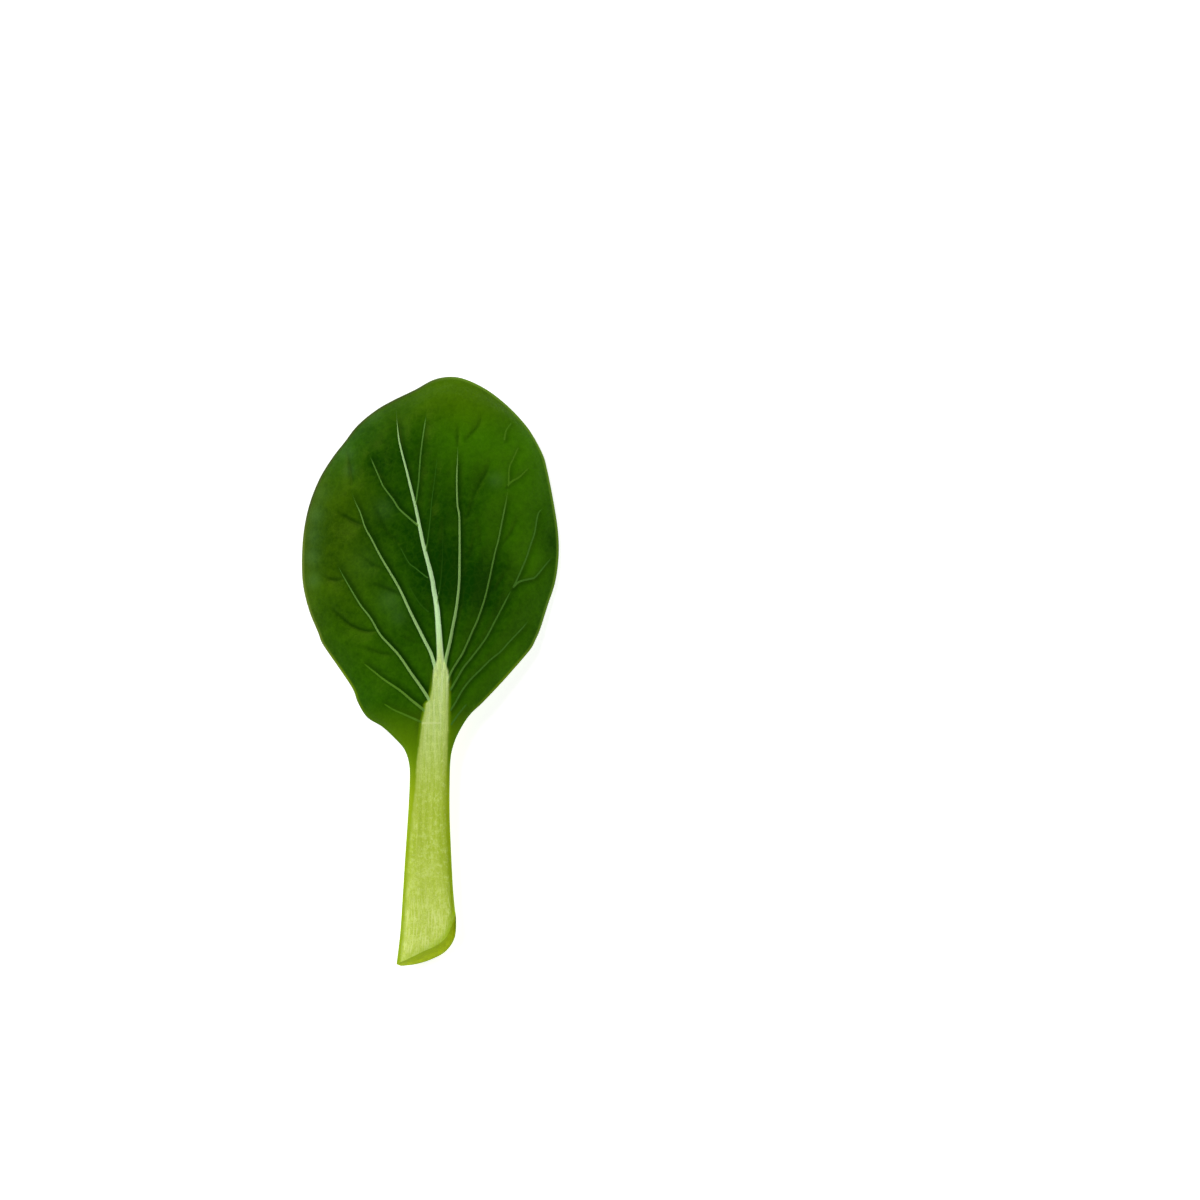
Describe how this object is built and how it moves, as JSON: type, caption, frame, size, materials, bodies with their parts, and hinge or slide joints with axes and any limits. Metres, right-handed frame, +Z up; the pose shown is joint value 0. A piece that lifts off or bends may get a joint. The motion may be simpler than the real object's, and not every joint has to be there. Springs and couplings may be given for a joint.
{
  "type": "bok choy leaf",
  "caption": "Picked bok choy leaf lying face up: a domed oval green blade with pale veins on a thick pale stalk with an oblique cut foot.",
  "frame": {"origin": "middle of the leaf's footprint, on the surface that it lies on", "axes": "+Z up, out of the leaf's glossy upper face; +Y along the leaf from the cut foot of the stalk to the tip of the blade"},
  "size_m": [0.0788, 0.1804, 0.0131],
  "materials": {
    "leaf": "satin, waxy dark green blade with pale green veins and a pale yellow-green stalk"
  },
  "bodies": {
    "root": {"bok_choy_leaf": "leaf"}
  },
  "joints": []
}
